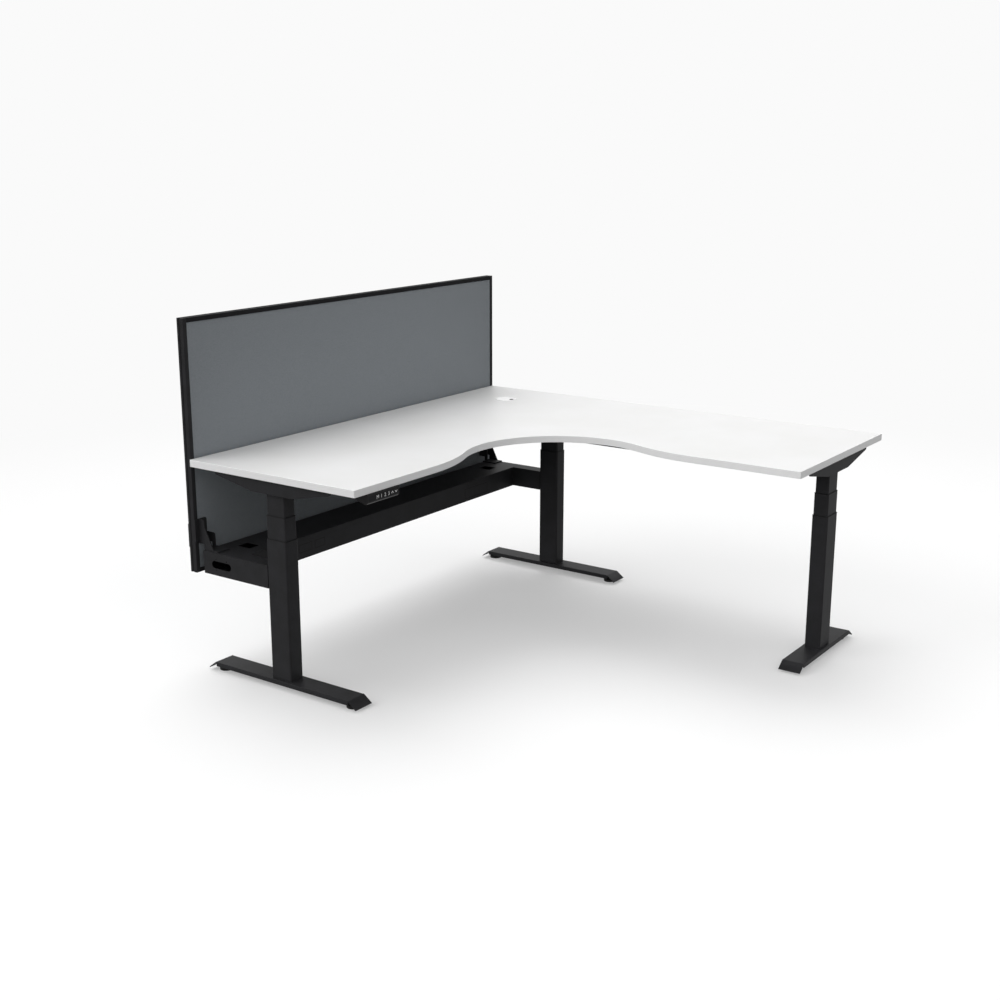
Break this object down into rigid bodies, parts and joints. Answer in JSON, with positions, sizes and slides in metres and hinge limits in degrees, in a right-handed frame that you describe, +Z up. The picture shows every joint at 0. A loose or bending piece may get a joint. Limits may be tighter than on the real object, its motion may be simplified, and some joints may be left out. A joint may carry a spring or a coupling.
{
  "type": "height-adjustable corner desk",
  "caption": "Electric height-adjustable corner desk with a wave-front white top, black telescopic legs, a cable duct and a grey fabric screen behind one wing.",
  "frame": {"origin": "middle of the outline, on the floor", "axes": "+X along the first wing towards the shared corner, +Y towards the screen at the back, +Z up"},
  "size_m": [1.81, 1.842, 1.257],
  "materials": {
    "white_laminate": "satin white melamine",
    "white_edge": "satin white edge strip",
    "black_steel": "matt black powder coat",
    "black_aluminium": "satin black powder coat",
    "grey_fabric": "woven grey polyester",
    "board": "raw fibre board",
    "white_plastic": "satin white",
    "black_plastic": "satin black",
    "zinc_steel": "zinc plated"
  },
  "bodies": {
    "base": {"left_foot": "black_steel", "corner_foot": "black_steel", "left_outer_column": "black_steel", "corner_outer_column": "black_steel", "base_foot_bolts": "zinc_steel", "arm_bolts": "black_steel", "duct_trough": "black_steel", "duct_deck": "black_steel", "left_arm": "black_steel", "right_arm": "black_steel", "left_screen_bracket": "black_steel", "right_screen_bracket": "black_steel", "screen_back_plates": "black_steel", "clamp_bolts": "black_steel", "screen_left_post": "black_aluminium", "screen_right_post": "black_aluminium", "screen_top_rail": "black_aluminium", "screen_bottom_rail": "black_aluminium", "screen_board": "board", "screen_front_fabric": "grey_fabric", "screen_back_fabric": "grey_fabric"},
    "top": {"desk_top": "white_laminate", "edge_band": "white_edge", "left_inner_column": "black_steel", "left_motor": "black_plastic", "left_bracket": "black_steel", "corner_inner_column": "black_steel", "corner_motor": "black_plastic", "corner_bracket": "black_steel", "right_inner_column": "black_steel", "right_motor": "black_plastic", "right_bracket": "black_steel", "first_wing_rails": "black_steel", "second_wing_rails": "black_steel", "control_box": "black_plastic", "handset_case": "black_plastic", "grommet_sleeve": "white_plastic", "top_screws": "zinc_steel"},
    "right_base": {"right_foot": "black_steel", "right_outer_column": "black_steel", "right_foot_bolts": "zinc_steel"},
    "grommet_turn": {"grommet_cap": "white_plastic"},
    "left_mid": {"left_mid_column": "black_steel"},
    "left_screw": {"left_spindle": "zinc_steel"},
    "left_front_foot_screw": {"left_front_leveller": "black_plastic"},
    "left_back_foot_screw": {"left_back_leveller": "black_plastic"},
    "corner_mid": {"corner_mid_column": "black_steel"},
    "corner_screw": {"corner_spindle": "zinc_steel"},
    "corner_front_foot_screw": {"corner_front_leveller": "black_plastic"},
    "corner_back_foot_screw": {"corner_back_leveller": "black_plastic"},
    "right_mid": {"right_mid_column": "black_steel"},
    "right_screw": {"right_spindle": "zinc_steel"},
    "right_front_foot_screw": {"right_front_leveller": "black_plastic"},
    "right_back_foot_screw": {"right_back_leveller": "black_plastic"},
    "memory_key_cap": {"memory_key": "black_plastic"},
    "first_key_cap": {"first_key": "black_plastic"},
    "second_key_cap": {"second_key": "black_plastic"},
    "third_key_cap": {"third_key": "black_plastic"},
    "up_key_cap": {"up_key": "black_plastic"},
    "down_key_cap": {"down_key": "black_plastic"}
  },
  "joints": [
    {"name": "lift", "type": "slide", "parent": "base", "child": "top", "axis": [0, 0, 1], "range_m": [-0.15, 0.5]},
    {"name": "left_mid_slide", "type": "slide", "parent": "base", "child": "left_mid", "axis": [0, 0, 1], "range_m": [-0.075, 0.25]},
    {"name": "corner_mid_slide", "type": "slide", "parent": "base", "child": "corner_mid", "axis": [0, 0, 1], "range_m": [-0.075, 0.25]},
    {"name": "right_mid_slide", "type": "slide", "parent": "top", "child": "right_mid", "axis": [0, 0, -1], "range_m": [-0.075, 0.25]},
    {"name": "right_base_slide", "type": "slide", "parent": "top", "child": "right_base", "axis": [0, 0, -1], "range_m": [-0.15, 0.5]},
    {"name": "left_screw_turn", "type": "hinge", "parent": "top", "child": "left_screw", "pos_m": [-0.852, 0.504, 0.6], "axis": [0, 0, 1], "range_deg": [-1688.5, 5626]},
    {"name": "left_front_levelling", "type": "slide", "parent": "base", "child": "left_front_foot_screw", "axis": [0, 0, -1], "range_m": [0, 0.008]},
    {"name": "left_back_levelling", "type": "slide", "parent": "base", "child": "left_back_foot_screw", "axis": [0, 0, -1], "range_m": [0, 0.008]},
    {"name": "corner_screw_turn", "type": "hinge", "parent": "top", "child": "corner_screw", "pos_m": [0.818, 0.504, 0.6], "axis": [0, 0, 1], "range_deg": [-1688.5, 5626]},
    {"name": "corner_front_levelling", "type": "slide", "parent": "base", "child": "corner_front_foot_screw", "axis": [0, 0, -1], "range_m": [0, 0.008]},
    {"name": "corner_back_levelling", "type": "slide", "parent": "base", "child": "corner_back_foot_screw", "axis": [0, 0, -1], "range_m": [0, 0.008]},
    {"name": "right_screw_turn", "type": "hinge", "parent": "top", "child": "right_screw", "pos_m": [0.509, -0.868, 0.6], "axis": [0, 0, 1], "range_deg": [-1688.5, 5626]},
    {"name": "right_front_levelling", "type": "slide", "parent": "right_base", "child": "right_front_foot_screw", "axis": [0, 0, -1], "range_m": [0, 0.008]},
    {"name": "right_back_levelling", "type": "slide", "parent": "right_base", "child": "right_back_foot_screw", "axis": [0, 0, -1], "range_m": [0, 0.008]},
    {"name": "memory_key_press", "type": "slide", "parent": "top", "child": "memory_key_cap", "axis": [0, 1, 0], "range_m": [0, 0.0008], "stiffness_N_per_m": 600},
    {"name": "first_key_press", "type": "slide", "parent": "top", "child": "first_key_cap", "axis": [0, 1, 0], "range_m": [0, 0.0008], "stiffness_N_per_m": 600},
    {"name": "second_key_press", "type": "slide", "parent": "top", "child": "second_key_cap", "axis": [0, 1, 0], "range_m": [0, 0.0008], "stiffness_N_per_m": 600},
    {"name": "third_key_press", "type": "slide", "parent": "top", "child": "third_key_cap", "axis": [0, 1, 0], "range_m": [0, 0.0008], "stiffness_N_per_m": 600},
    {"name": "up_key_press", "type": "slide", "parent": "top", "child": "up_key_cap", "axis": [0, 1, 0], "range_m": [0, 0.0008], "stiffness_N_per_m": 600},
    {"name": "down_key_press", "type": "slide", "parent": "top", "child": "down_key_cap", "axis": [0, 1, 0], "range_m": [0, 0.0008], "stiffness_N_per_m": 600},
    {"name": "cap_turn", "type": "hinge", "parent": "top", "child": "grommet_turn", "pos_m": [0.66, 0.639, 0.77], "axis": [0, 0, 1], "continuous": true}
  ],
  "couplings": [
    {"joint": "left_mid_slide", "follows": "lift", "ratio": 0.5},
    {"joint": "corner_mid_slide", "follows": "lift", "ratio": 0.5},
    {"joint": "right_mid_slide", "follows": "lift", "ratio": 0.5},
    {"joint": "right_base_slide", "follows": "lift", "ratio": 1},
    {"joint": "left_screw_turn", "follows": "lift", "rad_per_m": 196.35},
    {"joint": "corner_screw_turn", "follows": "lift", "rad_per_m": 196.35},
    {"joint": "right_screw_turn", "follows": "lift", "rad_per_m": 196.35}
  ]
}
